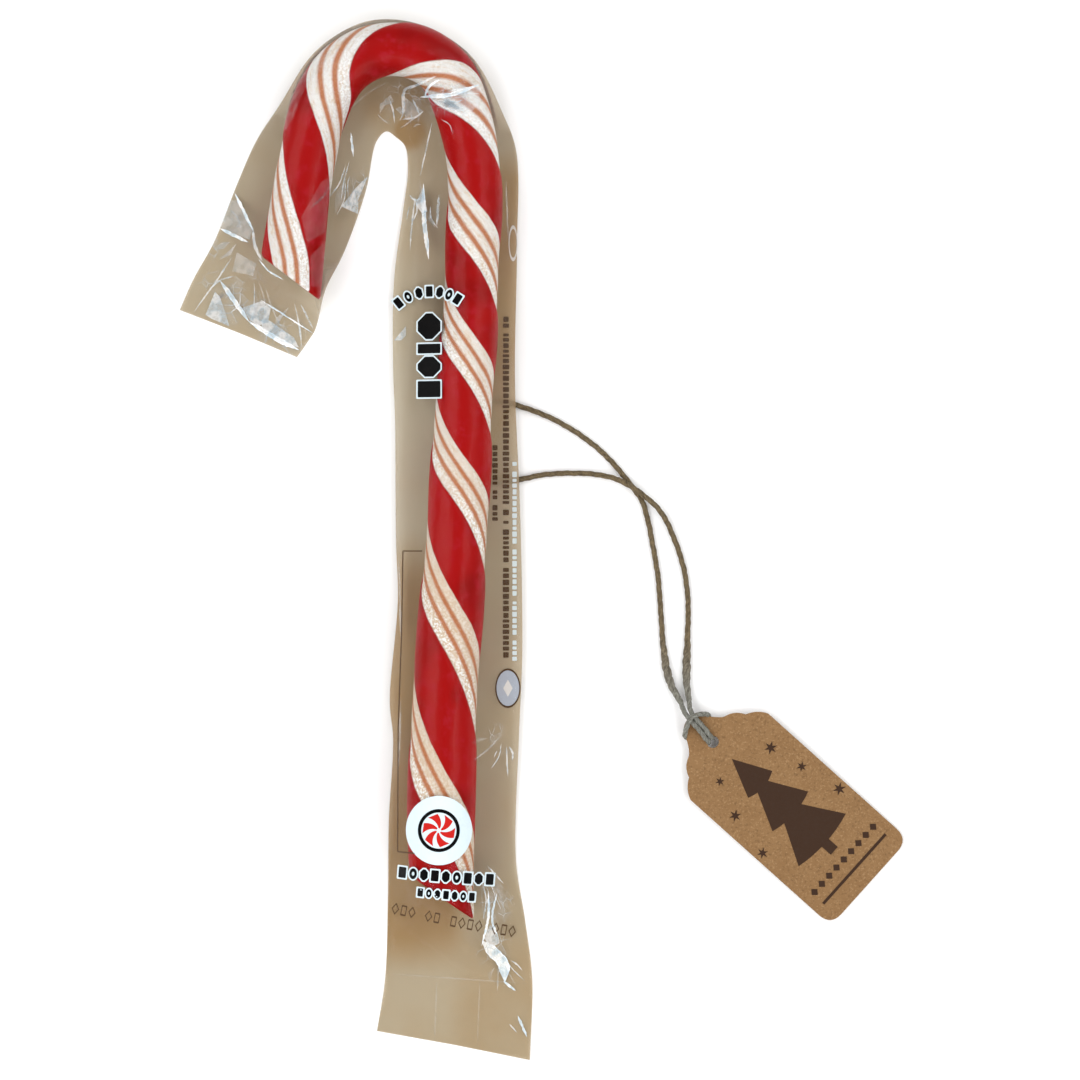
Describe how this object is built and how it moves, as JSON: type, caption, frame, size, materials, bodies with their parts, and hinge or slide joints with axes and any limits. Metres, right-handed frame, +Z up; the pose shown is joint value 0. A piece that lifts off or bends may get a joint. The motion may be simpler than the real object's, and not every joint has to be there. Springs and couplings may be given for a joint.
{
  "type": "candy cane",
  "caption": "Striped boiled-sweet cane with a round crook, sealed flat in a clear film sleeve, with a scalloped paper tag tied on by a loop of twine.",
  "frame": {"origin": "on the surface that it lies on, under the middle of the wrapped cane's box", "axes": "+Z up, away from the surface; +Y along the cane towards the crook; +X towards the twine and the tag"},
  "size_m": [0.1518, 0.2178, 0.0159],
  "materials": {
    "candy": "hard pulled sugar, red with white and orange stripes, satin gloss",
    "film": "thin clear film, glossy and creased, warm tan where two layers lie together",
    "twine": "twisted natural fibre, dull",
    "kraft_card": "uncoated speckled brown card, matt, with a dark brown print"
  },
  "bodies": {
    "root": {"candy_cane": "candy", "film_sleeve": "film", "twine": "twine", "twine_hitch": "twine", "paper_tag": "kraft_card"}
  },
  "joints": []
}
